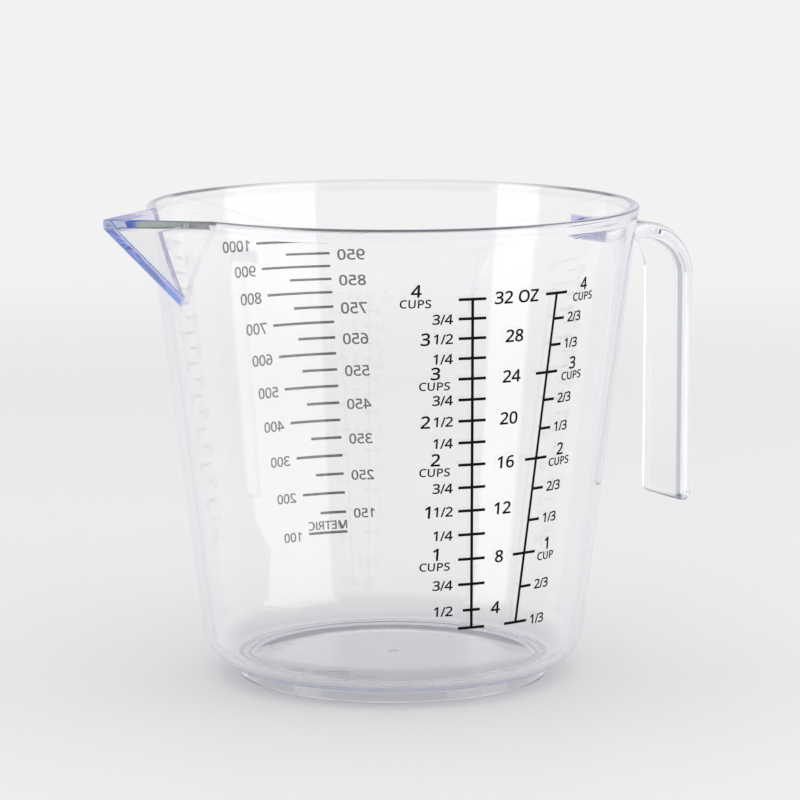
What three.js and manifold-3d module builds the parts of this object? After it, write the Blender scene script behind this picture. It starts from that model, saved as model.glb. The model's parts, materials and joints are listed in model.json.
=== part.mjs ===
// Clear one-litre measuring cup: tapered wall, V-shaped pouring spout, open strip handle, printed scales.
// Millimetres, +Z up. The handle points along +X and the spout along -X. The cup scales face -Y and the
// millilitre scale faces +Y. The origin is on the standing plane, midway between spout tip and handle.

import * as THREE from 'three';
import { ConvexGeometry } from 'three/addons/geometries/ConvexGeometry.js';
import { mergeVertices } from 'three/addons/utils/BufferGeometryUtils.js';
import Module from 'manifold-3d';

const wasm = await Module();
wasm.setup();

// Wall and base
const cupHeight = 127;
const mouthDiameter = 131.2; // outside of the wall at the brim
const heelDiameter = 99.8; // outside of the wall, carried down to the standing plane
const wallThickness = 2.2;
const heelRadius = 9.7; // outside radius of the bottom corner
const footHeight = 3.2;
const footWidth = 2.7;
const footEdge = 0.4; // chamfer at the foot's standing edges
const gateDiameter = 2.8; // moulding mark under the middle of the floor
const gateDepth = 0.4;

// Brim
const lipHeight = 3;
const lipProud = 0.3;
const lipRound = 0.8; // rounding of the lip's upper edges

// Spout
const spoutOverhang = 18.7; // keel's nose beyond the wall at the brim
const spoutMouth = 37; // width where the spout leaves the wall at the brim
const spoutDrop = 24; // brim to the keel's lower end
const spoutWall = 2;
const keelFlat = 1.2; // width of the flat along the keel
const spoutLipHeight = 2.5; // upright band along the top, above the leaning walls

// Handle
const handleWidth = 20.4;
const handleThickness = 4.5;
const fingerGap = 19.3; // wall at the brim to the inside of the grip
const handleDrop = 8; // brim to the top of the arm
const handleLength = 78.7; // top of the arm to the free end
const handleBend = 11.1; // inside radius of the bend
const handleEdge = 1; // rounding of the strip's long edges
const handleEndRound = 1.3;

// Print
const printTurn = 1.5; // degrees both prints are turned round the cup from square to the handle
const inkThickness = 0.15;
const inkGap = 0.05; // film to wall
const inkLine = 0.75; // width of every printed line
const tickLength = 7.4;
const shortTickLength = 4.8;
const ladderSpreadTop = 12.6; // each ladder from the middle of the print, at its top mark
const ladderSpreadBottom = 6.7; // and at its lowest mark
const cupMarkDrop = 18.1; // brim to the top mark of the cup scales
const cupMarkFoot = 21.9; // standing plane to their lowest mark
const mlMarkDrop = 15; // brim to the 1000 ml mark
const mlMarkFoot = 28.3; // standing plane to the 100 ml mark
const mlMarkStart = -14.4; // left ends of the ticks, from the middle of the print
const mlLongTickTop = 23.4; // a hundred's tick at 1000 ml
const mlLongTickBottom = 11.9; // and at 100 ml
const mlShortTickTop = 14; // a fifty's tick at the top
const mlShortTickBottom = 7.5; // and at the bottom

// Fits and fineness
const seatGap = 0.3; // between regions that meet on a curved face
const roundSegments = 72;
const arcDivisions = 3; // an arc gets twice as many flat stretches
const filmStep = 2.4; // longest flat stretch of a printed line round the wall
const edgeSegments = 3; // flat stretches of the rounding along the handle's long edges
const cutMargin = 2; // how far a cutting solid runs past what it cuts
const weldGap = 1e-4; // points closer than this are one point

// Places worked out from the sizes
const slope = (mouthDiameter - heelDiameter) / 2 / cupHeight;
const lean = Math.atan(slope);
const outerRadius = (z) => heelDiameter / 2 + slope * z;
const innerRadius = (z) => outerRadius(z) - wallThickness / Math.cos(lean);
const heelCentreZ = footHeight + heelRadius;
const heelCentreRadius = outerRadius(heelCentreZ) - heelRadius / Math.cos(lean);
const footOuterRadius = heelCentreRadius;
const footMiddleRadius = footOuterRadius - footWidth / 2;
const floorZ = footHeight + wallThickness;
const lipFootZ = cupHeight - lipHeight;
const brimRadius = mouthDiameter / 2;
const cupsFace = THREE.MathUtils.degToRad(printTurn - 90);
const mlFace = THREE.MathUtils.degToRad(printTurn + 90);
const spoutNoseX = brimRadius + spoutOverhang;
const handleInnerX = brimRadius + fingerGap;
const handleOuterX = handleInnerX + handleThickness;
const insideX = brimRadius / 2; // spout and handle are drawn from here, well inside the cup, then trimmed

// Materials
const clearPlastic = new THREE.MeshStandardMaterial({
  color: 0xdfe6f5,
  roughness: 0.06,
  metalness: 0,
  transparent: true,
  opacity: 0.35,
});
const blackInk = new THREE.MeshStandardMaterial({ color: 0x101012, roughness: 0.55, metalness: 0 });

// Geometry to solid and back, for cuts and joins
function toSolid(geometry) {
  geometry.deleteAttribute('normal');
  geometry.deleteAttribute('uv');
  const merged = mergeVertices(geometry, weldGap);
  const vertProperties = new Float32Array(merged.attributes.position.array);
  const triVerts = new Uint32Array(merged.index.array);
  return new wasm.Manifold(new wasm.Mesh({ numProp: 3, vertProperties, triVerts }));
}

function toGeometry(solid) {
  const { vertProperties, triVerts } = solid.getMesh();
  const geometry = new THREE.BufferGeometry();
  geometry.setAttribute('position', new THREE.BufferAttribute(vertProperties, 3));
  geometry.setIndex(new THREE.BufferAttribute(triVerts, 1));
  geometry.computeVertexNormals();
  return geometry;
}

// A path in the radius and height plane, turned about the cup's axis
function revolve(path) {
  const points = path.getPoints(arcDivisions);
  const distinct = points.filter((point, i) => i === 0 || point.distanceTo(points[i - 1]) > weldGap);
  return new THREE.LatheGeometry(distinct, roundSegments).rotateX(Math.PI / 2);
}

// Closed ring section through the given radius and height pairs
function ringSection(corners) {
  const path = new THREE.Path();
  path.moveTo(...corners[0]);
  for (const corner of corners.slice(1)) path.lineTo(...corner);
  path.lineTo(...corners[0]);
  return path;
}

function sideWallTube() {
  return revolve(ringSection([
    [outerRadius(heelCentreZ), heelCentreZ],
    [outerRadius(lipFootZ), lipFootZ],
    [innerRadius(lipFootZ), lipFootZ],
    [innerRadius(heelCentreZ), heelCentreZ],
  ]));
}

// Rounded corner from the foot's middle out and up to the straight wall
function heelRing() {
  const innerHeel = heelRadius - wallThickness;
  const path = new THREE.Path();
  path.moveTo(footMiddleRadius, footHeight);
  path.lineTo(heelCentreRadius, footHeight);
  path.absarc(heelCentreRadius, heelCentreZ, heelRadius, -Math.PI / 2, -lean, false);
  path.lineTo(outerRadius(heelCentreZ), heelCentreZ);
  path.lineTo(innerRadius(heelCentreZ), heelCentreZ);
  path.absarc(heelCentreRadius, heelCentreZ, innerHeel, -lean, -Math.PI / 2, true);
  path.lineTo(footMiddleRadius, floorZ);
  path.lineTo(footMiddleRadius, footHeight);
  return revolve(path);
}

// Flat floor seated on the foot ring, with the gate mark as a shallow dimple under its centre
function floorDisc() {
  const edge = footMiddleRadius - seatGap;
  const path = new THREE.Path();
  path.moveTo(0, footHeight + gateDepth);
  path.lineTo(gateDiameter / 2, footHeight + gateDepth);
  path.lineTo(gateDiameter / 2 + gateDepth, footHeight);
  path.lineTo(edge, footHeight);
  path.lineTo(edge, floorZ);
  path.lineTo(0, floorZ);
  return revolve(path);
}

function footRing() {
  const inside = footOuterRadius - footWidth;
  return revolve(ringSection([
    [inside + footEdge, 0],
    [footOuterRadius - footEdge, 0],
    [footOuterRadius, footEdge],
    [footOuterRadius, footHeight],
    [inside, footHeight],
    [inside, footEdge],
  ]));
}

// Thickened band at the brim, rounded along both upper edges
function rimBand() {
  const lipRadius = (z) => outerRadius(z) + lipProud;
  const roundZ = cupHeight - lipRound;
  const path = new THREE.Path();
  path.moveTo(outerRadius(lipFootZ), lipFootZ);
  path.lineTo(lipRadius(lipFootZ + lipProud), lipFootZ + lipProud);
  path.lineTo(lipRadius(roundZ), roundZ);
  path.absarc(lipRadius(roundZ) - lipRound, roundZ, lipRound, 0, Math.PI / 2, false);
  path.absarc(innerRadius(roundZ) + lipRound, roundZ, lipRound, Math.PI / 2, Math.PI, false);
  path.lineTo(innerRadius(lipFootZ), lipFootZ);
  path.lineTo(outerRadius(lipFootZ), lipFootZ);
  return revolve(path);
}

// Everything inside the cup's outside surface, with the seat gap added all over
function cupEnvelope() {
  const lipRadius = outerRadius(cupHeight) + lipProud + seatGap;
  const path = new THREE.Path();
  path.moveTo(0, 0);
  path.lineTo(outerRadius(0) + seatGap, 0);
  path.lineTo(outerRadius(lipFootZ) + seatGap, lipFootZ - seatGap);
  path.lineTo(lipRadius, lipFootZ + lipProud - seatGap);
  path.lineTo(lipRadius, cupHeight + cutMargin);
  path.lineTo(0, cupHeight + cutMargin);
  return toSolid(revolve(path));
}

// Spout planes: in plan a V of fixed angle with a flat nose. Below an upright band it slides down and in
// along the keel, so the walls lean, while the channel leans right to the top and leaves a thin pouring edge.
const keelFootZ = cupHeight - spoutDrop;
const spoutBandZ = cupHeight - spoutLipHeight;
const keelRun = (spoutNoseX - outerRadius(keelFootZ)) / (spoutBandZ - keelFootZ); // inward for each mm of drop
const spoutRootX = Math.sqrt(brimRadius ** 2 - (spoutMouth / 2) ** 2);
const plan = (spoutMouth - keelFlat) / 2 / (spoutNoseX - spoutRootX); // tangent of the V's half angle in plan
const spoutLean = Math.atan(keelRun * Math.sin(Math.atan(plan))); // lean of each spout wall
const planShift = 1 / (Math.cos(spoutLean) * Math.sin(Math.atan(plan))); // nose travel for 1 mm of wall

// Half of the V in plan, from its nose to well inside the cup, as points at one height
function halfPlan(side, noseX, z) {
  const backHalf = keelFlat / 2 + (noseX - insideX) * plan;
  return [
    new THREE.Vector3(-noseX, (side * keelFlat) / 2, z),
    new THREE.Vector3(-insideX, side * backHalf, z),
  ];
}

// Solid wedge under the leaning planes, moved inward by an amount measured square to its walls
function spoutWedge(inward, topZ) {
  const noseX = spoutNoseX - keelRun * (spoutBandZ - topZ) - inward * planShift;
  const lowZ = topZ - (noseX - insideX) / keelRun;
  const corners = [-1, 1].flatMap((side) => [
    ...halfPlan(side, noseX, topZ),
    new THREE.Vector3(-insideX, (side * keelFlat) / 2, lowZ),
  ]);
  return toSolid(new ConvexGeometry(corners));
}

function spoutBand() {
  const corners = [-1, 1].flatMap((side) => [
    ...halfPlan(side, spoutNoseX, spoutBandZ),
    ...halfPlan(side, spoutNoseX, cupHeight),
  ]);
  return toSolid(new ConvexGeometry(corners));
}

function spoutChannel() {
  return spoutWedge(spoutWall, cupHeight + cutMargin);
}

// Two flat walls meeting in a keel, with the upright band along the top, trimmed to the cup's outside
function pouringSpout(channel) {
  const walls = spoutWedge(0, spoutBandZ).add(spoutBand());
  return toGeometry(walls.subtract(channel).subtract(cupEnvelope()));
}

// Flat strip: arm out of the wall, bend, and a straight grip down to the free end
function handleStrip() {
  const topZ = cupHeight - handleDrop;
  const endZ = topZ - handleLength;
  const bendOuter = handleBend + handleThickness;
  const bendX = handleInnerX - handleBend;
  const bendZ = topZ - bendOuter;
  const outline = new THREE.Shape();
  outline.moveTo(insideX, topZ - handleThickness);
  outline.lineTo(bendX, topZ - handleThickness);
  outline.absarc(bendX, bendZ, handleBend, Math.PI / 2, 0, true);
  outline.lineTo(handleInnerX, endZ + handleEndRound);
  outline.absarc(handleInnerX + handleEndRound, endZ + handleEndRound, handleEndRound,
    Math.PI, 1.5 * Math.PI, false);
  outline.lineTo(handleOuterX - handleEndRound, endZ);
  outline.absarc(handleOuterX - handleEndRound, endZ + handleEndRound, handleEndRound,
    1.5 * Math.PI, 2 * Math.PI, false);
  outline.lineTo(handleOuterX, bendZ);
  outline.absarc(bendX, bendZ, bendOuter, 0, Math.PI / 2, false);
  outline.lineTo(insideX, topZ);
  const depth = handleWidth - 2 * handleEdge;
  const strip = new THREE.ExtrudeGeometry(outline, {
    depth,
    curveSegments: 2 * arcDivisions,
    bevelThickness: handleEdge,
    bevelSize: handleEdge,
    bevelOffset: -handleEdge,
    bevelSegments: edgeSegments,
  });
  strip.translate(0, 0, -depth / 2).rotateX(Math.PI / 2);
  return toGeometry(toSolid(strip).subtract(cupEnvelope()));
}

// Thin film on the wall. Columns are arc offsets from the film's centre line, rows are heights, and
// inked tells which cells of that grid carry ink. Facing the print, offsets grow to the right.
function printedFilm(face, columns, rows, centreLine, inked) {
  const positions = [];
  const triangles = [];
  const known = new Map();
  const has = (column, row) =>
    column >= 0 && row >= 0 && column < columns.length - 1 && row < rows.length - 1 && inked(column, row);
  const corner = (column, row, layer) => {
    const key = `${column},${row},${layer}`;
    if (!known.has(key)) {
      const z = rows[row];
      const angle = face + (centreLine(z) + columns[column]) / outerRadius(z);
      const radius = outerRadius(z) + inkGap + layer * inkThickness;
      known.set(key, positions.length / 3);
      positions.push(radius * Math.cos(angle), radius * Math.sin(angle), z);
    }
    return known.get(key);
  };
  const quad = (a, b, c, d) => {
    triangles.push(corner(...a), corner(...b), corner(...c));
    triangles.push(corner(...a), corner(...c), corner(...d));
  };
  for (let row = 0; row < rows.length - 1; row += 1) {
    for (let column = 0; column < columns.length - 1; column += 1) {
      if (!has(column, row)) continue;
      const [right, high] = [column + 1, row + 1];
      quad([column, row, 1], [right, row, 1], [right, high, 1], [column, high, 1]);
      quad([column, row, 0], [column, high, 0], [right, high, 0], [right, row, 0]);
      if (!has(column - 1, row)) {
        quad([column, row, 0], [column, row, 1], [column, high, 1], [column, high, 0]);
      }
      if (!has(right, row)) quad([right, row, 1], [right, row, 0], [right, high, 0], [right, high, 1]);
      if (!has(column, row - 1)) quad([column, row, 0], [right, row, 0], [right, row, 1], [column, row, 1]);
      if (!has(column, high)) {
        quad([column, high, 1], [right, high, 1], [right, high, 0], [column, high, 0]);
      }
    }
  }
  const geometry = new THREE.BufferGeometry();
  geometry.setAttribute('position', new THREE.Float32BufferAttribute(positions, 3));
  geometry.setIndex(triangles);
  geometry.computeVertexNormals();
  return geometry;
}

// Height of a mark whose volume is the given share of the way from the lowest mark to the top one.
// Equal volumes in a tapered bore are equal steps in the cube of its radius.
function markHeight(share, lowZ, topZ) {
  const lowCube = innerRadius(lowZ) ** 3;
  const topCube = innerRadius(topZ) ** 3;
  const radius = Math.cbrt(lowCube + (topCube - lowCube) * share);
  return lowZ + (radius - innerRadius(lowZ)) / slope;
}

// One ladder of the cup scales: a leaning line crossed by ticks, each mark given as cups and tick kind
const cupCount = 4; // cups at the top mark
const lowestShare = 1 / 3; // cups at the lowest
const cupTopZ = cupHeight - cupMarkDrop;
const spreadAt = (z) =>
  ladderSpreadBottom + ((ladderSpreadTop - ladderSpreadBottom) * (z - cupMarkFoot)) / (cupTopZ - cupMarkFoot);

function cupLadder(side, marks) {
  const halves = [tickLength / 2, shortTickLength / 2, inkLine / 2];
  const columns = [...halves.map((half) => -half), ...halves.toReversed()];
  const lineColumn = halves.length - 1;
  const lastColumn = columns.length - 2;
  const spans = {
    full: [0, lastColumn],
    short: [1, lastColumn - 1],
    right: [lineColumn, lastColumn],
  };
  const rows = marks.flatMap(({ cups }) => {
    const z = markHeight((cups - lowestShare) / (cupCount - lowestShare), cupMarkFoot, cupTopZ);
    return [z - inkLine / 2, z + inkLine / 2];
  });
  const inked = (column, row) => {
    if (row % 2 === 1) return column === lineColumn;
    const [first, last] = spans[marks[row / 2].tick];
    return column >= first && column <= last;
  };
  return printedFilm(cupsFace, columns, rows, (z) => side * spreadAt(z), inked);
}

function quarterMarks() {
  const marks = [{ cups: lowestShare, tick: 'full' }];
  for (let quarters = 2; quarters <= 4 * cupCount; quarters += 1) {
    marks.push({ cups: quarters / 4, tick: quarters === 2 ? 'short' : 'full' });
  }
  return marks;
}

function thirdMarks() {
  const marks = [{ cups: lowestShare, tick: 'full' }];
  for (let thirds = 2; thirds <= 3 * cupCount; thirds += 1) {
    marks.push({ cups: thirds / 3, tick: thirds % 3 === 0 ? 'full' : 'right' });
  }
  return marks;
}

// One tick of the millilitre scale: long at the hundreds, short at the fifties
const mlLow = 100;
const mlTop = 1000;
const mlStep = 50;

function mlTick(ml) {
  const share = (ml - mlLow) / (mlTop - mlLow);
  const z = markHeight(share, mlMarkFoot, cupHeight - mlMarkDrop);
  const length = ml % 100 === 0
    ? THREE.MathUtils.lerp(mlLongTickBottom, mlLongTickTop, share)
    : THREE.MathUtils.lerp(mlShortTickBottom, mlShortTickTop, share);
  const steps = Math.ceil(length / filmStep);
  const columns = Array.from({ length: steps + 1 }, (_, i) => mlMarkStart + (length * i) / steps);
  const rows = [z - inkLine / 2, z + inkLine / 2];
  return printedFilm(mlFace, columns, rows, () => 0, () => true);
}

// Assembly, on the cup's own axis
const cup = new THREE.Group();
cup.position.x = (spoutNoseX - handleOuterX) / 2;

function place(name, geometry, material) {
  const mesh = new THREE.Mesh(geometry, material);
  mesh.name = name;
  cup.add(mesh);
}

const channel = spoutChannel();
place('side_wall', toGeometry(toSolid(sideWallTube()).subtract(channel)), clearPlastic);
place('heel', toGeometry(toSolid(heelRing())), clearPlastic);
place('floor_disc', toGeometry(toSolid(floorDisc())), clearPlastic);
place('foot_ring', toGeometry(toSolid(footRing())), clearPlastic);
place('rim_lip', toGeometry(toSolid(rimBand()).subtract(channel)), clearPlastic);
place('pouring_spout', pouringSpout(channel), clearPlastic);
place('handle', handleStrip(), clearPlastic);
place('quarter_cup_scale', cupLadder(-1, quarterMarks()), blackInk);
place('third_cup_scale', cupLadder(1, thirdMarks()), blackInk);
for (let ml = mlLow; ml <= mlTop; ml += mlStep) place(`ml_mark_${ml}`, mlTick(ml), blackInk);

const model = new THREE.Group();
model.add(cup);

export default model;
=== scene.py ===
"""Looks of a clear measuring cup: one clear moulding, its printed scales and a plain studio.

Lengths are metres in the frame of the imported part: the handle points along +X, the spout along -X, the cup
scales face -Y and the millilitre scale faces +Y. The cup stands on z = 0.
"""

from __future__ import annotations

import json
import logging
import math
from dataclasses import dataclass
from enum import Enum
from functools import partial, reduce
from typing import Any

import bmesh
import bpy
from mathutils import Matrix, Vector

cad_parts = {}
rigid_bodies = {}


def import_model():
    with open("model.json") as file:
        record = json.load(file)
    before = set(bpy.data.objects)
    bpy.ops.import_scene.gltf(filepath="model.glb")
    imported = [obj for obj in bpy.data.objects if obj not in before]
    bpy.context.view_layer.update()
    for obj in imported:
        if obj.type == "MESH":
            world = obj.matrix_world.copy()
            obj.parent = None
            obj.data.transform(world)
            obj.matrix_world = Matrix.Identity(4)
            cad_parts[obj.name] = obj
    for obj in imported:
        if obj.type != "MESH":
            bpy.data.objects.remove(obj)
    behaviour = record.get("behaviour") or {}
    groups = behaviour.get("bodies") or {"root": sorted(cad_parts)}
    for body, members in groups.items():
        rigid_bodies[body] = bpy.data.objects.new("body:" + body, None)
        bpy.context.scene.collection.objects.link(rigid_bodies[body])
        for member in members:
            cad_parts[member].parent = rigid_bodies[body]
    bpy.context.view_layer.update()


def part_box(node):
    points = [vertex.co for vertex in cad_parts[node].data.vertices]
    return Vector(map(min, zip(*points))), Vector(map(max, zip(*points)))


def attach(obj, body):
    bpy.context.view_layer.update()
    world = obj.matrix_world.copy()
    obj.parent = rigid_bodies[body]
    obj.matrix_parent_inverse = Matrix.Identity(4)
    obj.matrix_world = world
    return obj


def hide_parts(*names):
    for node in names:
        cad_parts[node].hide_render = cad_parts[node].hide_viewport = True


MM = 0.001
LOG = logging.getLogger("measuring_cup")

# First figure and first capital of the plain sans-serif signs in Blender's own fonts
SANS_FIGURE = 0x1D7E2
SANS_CAPITAL = 0x1D5A0

Piece = bpy.types.Object
Socket = bpy.types.NodeSocket
Point = tuple[float, float]
Span = tuple[float, float]
Colour = tuple[float, float, float, float]


class Join(Enum):
    """Ways to combine two closed solids."""

    ADD = "UNION"
    CUT = "DIFFERENCE"


class Blend(Enum):
    """Ways to pass from one end of a stretch to the other."""

    EVEN = "LINEAR"
    SOFT = "SMOOTHSTEP"


class Align(Enum):
    """Which part of a label stands at its place round the wall."""

    LEFT = 0.0
    CENTRE = 0.5
    RIGHT = 1.0


class Face(Enum):
    """Where on the wall a print is centred, as an angle about the cup's axis."""

    CUPS = math.radians(-88.5)
    MILLILITRES = math.radians(91.5)


# Meshes


def new_object(name: str, data: bpy.types.ID) -> Piece:
    """Put an object into the scene.

    Args:
        name: Name of the object.
        data: The mesh, lettering, lamp or camera that it holds.

    Returns:
        The new object, at the origin.
    """
    piece = bpy.data.objects.new(name, data)
    bpy.context.scene.collection.objects.link(piece)
    return piece


def mesh_object(name: str, shape: bmesh.types.BMesh) -> Piece:
    """Make a scene object from a finished shape.

    Args:
        name: Name of the object and its mesh.
        shape: The shape, which is freed.

    Returns:
        The new object, at the origin.
    """
    mesh = bpy.data.meshes.new(name)
    shape.to_mesh(mesh)
    shape.free()
    return new_object(name, mesh)


def evaluated_mesh(piece: Piece) -> bpy.types.Mesh:
    """A plain mesh of what an object's modifiers or its lettering make."""
    graph = bpy.context.evaluated_depsgraph_get()
    return bpy.data.meshes.new_from_object(piece.evaluated_get(graph), depsgraph=graph)


def apply_modifiers(piece: Piece) -> None:
    """Replace a piece's mesh by what its modifiers make of it, and remove them.

    Args:
        piece: The piece.
    """
    old, mesh = piece.data, evaluated_mesh(piece)
    piece.modifiers.clear()
    piece.data = mesh
    mesh.name = piece.name
    if old.users == 0:
        bpy.data.meshes.remove(old)


def dress_in(piece: Piece, material: bpy.types.Material) -> None:
    """Give a piece one material and no other."""
    piece.data.materials.clear()
    piece.data.materials.append(material)


def combine(solid: Piece, tool: Piece, how: Join) -> None:
    """Join a tool solid to a solid, or cut it away, and delete the tool.

    Args:
        solid: The solid that is changed.
        tool: The solid that is joined or cut away.
        how: Which of the two.
    """
    step = solid.modifiers.new(how.name, "BOOLEAN")
    step.operation = how.value
    step.solver = "EXACT"
    step.object = tool
    apply_modifiers(solid)
    bpy.data.objects.remove(tool)


def arc(centre: Point, radius: float, start: float, end: float, steps: int) -> list[Point]:
    """Points along a round stretch of a section.

    Args:
        centre: Radius and height of the arc's centre.
        radius: Radius of the arc.
        start: First angle in degrees, 0 outwards and 90 up.
        end: Last angle in degrees.
        steps: Number of straight stretches.

    Returns:
        Radius and height pairs, both ends included.
    """
    angles = [math.radians(start + (end - start) * i / steps) for i in range(steps + 1)]
    return [(centre[0] + radius * math.cos(a), centre[1] + radius * math.sin(a)) for a in angles]


def split(section: list[Point], longest: float) -> list[Point]:
    """Add points to the long straight stretches of a section.

    Args:
        section: Radius and height pairs.
        longest: Longest stretch that may stay.

    Returns:
        The section with extra points.
    """
    result = [section[0]]
    for (r0, z0), (r1, z1) in zip(section, section[1:]):
        parts = max(1, math.ceil(math.hypot(r1 - r0, z1 - z0) / longest))
        result += [(r0 + (r1 - r0) * i / parts, z0 + (z1 - z0) * i / parts) for i in range(1, parts + 1)]
    return result


def turned(name: str, section: list[Point], axis_x: float, columns: int) -> Piece:
    """Turn a half section about the cup's axis.

    Args:
        name: Name of the new object.
        section: Radius and height pairs, from one point on the axis to another.
        axis_x: Where the axis stands.
        columns: Number of steps round the axis.

    Returns:
        A closed solid with its faces outwards.
    """
    shape = bmesh.new()
    angles = [2 * math.pi * i / columns for i in range(columns)]
    rings = [
        [shape.verts.new((axis_x + r * math.cos(a), r * math.sin(a), z)) for a in angles]
        for r, z in section[1:-1]
    ]
    for low, high in zip(rings, rings[1:]):
        for i in range(columns):
            k = (i + 1) % columns
            shape.faces.new((low[i], low[k], high[k], high[i]))
    bottom = shape.verts.new((axis_x, 0, section[0][1]))
    top = shape.verts.new((axis_x, 0, section[-1][1]))
    for i in range(columns):
        k = (i + 1) % columns
        shape.faces.new((rings[0][k], rings[0][i], bottom))
        shape.faces.new((rings[-1][i], rings[-1][k], top))
    bmesh.ops.recalc_face_normals(shape, faces=shape.faces)
    return mesh_object(name, shape)


# Node trees


class Sheet:
    """Short way to place and link nodes in one tree."""

    def __init__(self, tree: bpy.types.NodeTree) -> None:
        """Work on the given tree."""
        self.tree = tree

    def put(self, socket: Socket, value: Any) -> None:
        """Link an output to a socket, or set the socket's own value.

        Args:
            socket: The input.
            value: The output or the plain value.
        """
        if isinstance(value, Socket):
            self.tree.links.new(value, socket)
        else:
            socket.default_value = value

    def add(self, kind: str, inputs: dict[str | int, Any] | None = None, **settings: Any) -> bpy.types.Node:
        """Place a node.

        Args:
            kind: The node's type.
            inputs: Values or outputs for its inputs, by name or by number.
            settings: Values for its properties.

        Returns:
            The node.
        """
        node = self.tree.nodes.new(kind)
        for name, value in settings.items():
            setattr(node, name, value)
        for key, value in (inputs or {}).items():
            self.put(node.inputs[key], value)
        return node

    def first(self, kind: str, inputs: dict[str | int, Any] | None = None, **settings: Any) -> Socket:
        """Place a node, as add does, and give its first output."""
        return self.add(kind, inputs, **settings).outputs[0]


class NumberSheet(Sheet):
    """A sheet with arithmetic, for shader and geometry trees alike."""

    def math(self, operation: str, *values: Any) -> Socket:
        """One Math node on the given values."""
        return self.first("ShaderNodeMath", dict(enumerate(values)), operation=operation)

    def plus(self, a: Any, b: Any) -> Socket:
        """Sum of two values."""
        return self.math("ADD", a, b)

    def minus(self, a: Any, b: Any) -> Socket:
        """Difference of two values."""
        return self.math("SUBTRACT", a, b)

    def times(self, *values: Any) -> Socket:
        """Product of two or more values."""
        return reduce(partial(self.math, "MULTIPLY"), values)

    def over(self, a: Any, b: Any) -> Socket:
        """Quotient of two values."""
        return self.math("DIVIDE", a, b)

    def along(self, start: Any, rate: Any, way: Any) -> Socket:
        """Where a value that starts here and changes at this rate has come to after some way."""
        return self.math("MULTIPLY_ADD", rate, way, start)

    def between(self, low: Any, high: Any, share: Any) -> Socket:
        """The value that lies the given share of the way from low to high."""
        return self.along(low, self.minus(high, low), share)

    def vector(self, x: Any, y: Any, z: Any) -> Socket:
        """Three values as one vector."""
        return self.first("ShaderNodeCombineXYZ", {"X": x, "Y": y, "Z": z})

    def parts(self, vector: Any) -> bpy.types.NodeOutputs:
        """The X, Y and Z of a vector."""
        return self.add("ShaderNodeSeparateXYZ", {0: vector}).outputs


class ShaderSheet(NumberSheet):
    """A sheet with masks, colours and shaders, for materials and the surround."""

    # Numbers of the Mix node's colour sockets, which share their names with its other sockets
    FIRST_COLOUR, SECOND_COLOUR, MIXED_COLOUR = 6, 7, 2

    def place(self) -> Socket:
        """Object coordinates, in metres."""
        return self.add("ShaderNodeTexCoord").outputs["Object"]

    def view(self) -> Socket:
        """Direction from the surface back along the ray that looks at it."""
        return self.add("ShaderNodeNewGeometry").outputs["Incoming"]

    def rise(self) -> Socket:
        """How steeply the view comes down on the surface."""
        return self.parts(self.view())["Z"]

    def ray(self) -> bpy.types.NodeOutputs:
        """What is known of the ray that looks at the surface."""
        return self.add("ShaderNodeLightPath").outputs

    def seen(self) -> Socket:
        """Find the rays that the camera, gloss or clear plastic looks along.

        Returns:
            A mask that is 1 for them.
        """
        ray = self.ray()
        gloss = self.math("MAXIMUM", ray["Is Glossy Ray"], ray["Is Transmission Ray"])
        return self.math("MAXIMUM", ray["Is Camera Ray"], gloss)

    def measure(self, operation: str, *vectors: Any) -> Socket:
        """A length, a distance or a dot product of vectors."""
        node = self.add("ShaderNodeVectorMath", dict(enumerate(vectors)), operation=operation)
        return node.outputs["Value"]

    def past(self, value: Any, reach: Span, how: Blend = Blend.EVEN) -> Socket:
        """0 before a stretch of values and 1 after it."""
        limits = {"Value": value, "From Min": reach[0], "From Max": reach[1]}
        return self.first("ShaderNodeMapRange", limits, interpolation_type=how.value)

    def mixed(self, share: Any, low: Any, high: Any) -> Socket:
        """The colour that lies the given share of the way from one to another."""
        inputs = {"Factor": share, self.FIRST_COLOUR: low, self.SECOND_COLOUR: high}
        return self.add("ShaderNodeMix", inputs, data_type="RGBA").outputs[self.MIXED_COLOUR]

    def layered(self, ground: Colour, layers: list[tuple[Socket, Colour]]) -> Socket:
        """Lay colours over one another.

        Args:
            ground: The lowest colour.
            layers: A mask and a colour for each layer, from the lowest up.

        Returns:
            The colour that is seen from above.
        """
        colour: Any = ground
        for share, tint in layers:
            colour = self.mixed(share, colour, tint)
        return colour

    def bump(self, height: Socket, distance: float, strength: float) -> Socket:
        """A normal that follows a height."""
        return self.first("ShaderNodeBump", {"Height": height, "Distance": distance, "Strength": strength})

    def blended(self, share: Any, low: Socket, high: Socket) -> Socket:
        """The shader that lies the given share of the way from one to another."""
        return self.first("ShaderNodeMixShader", {0: share, 1: low, 2: high})


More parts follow.
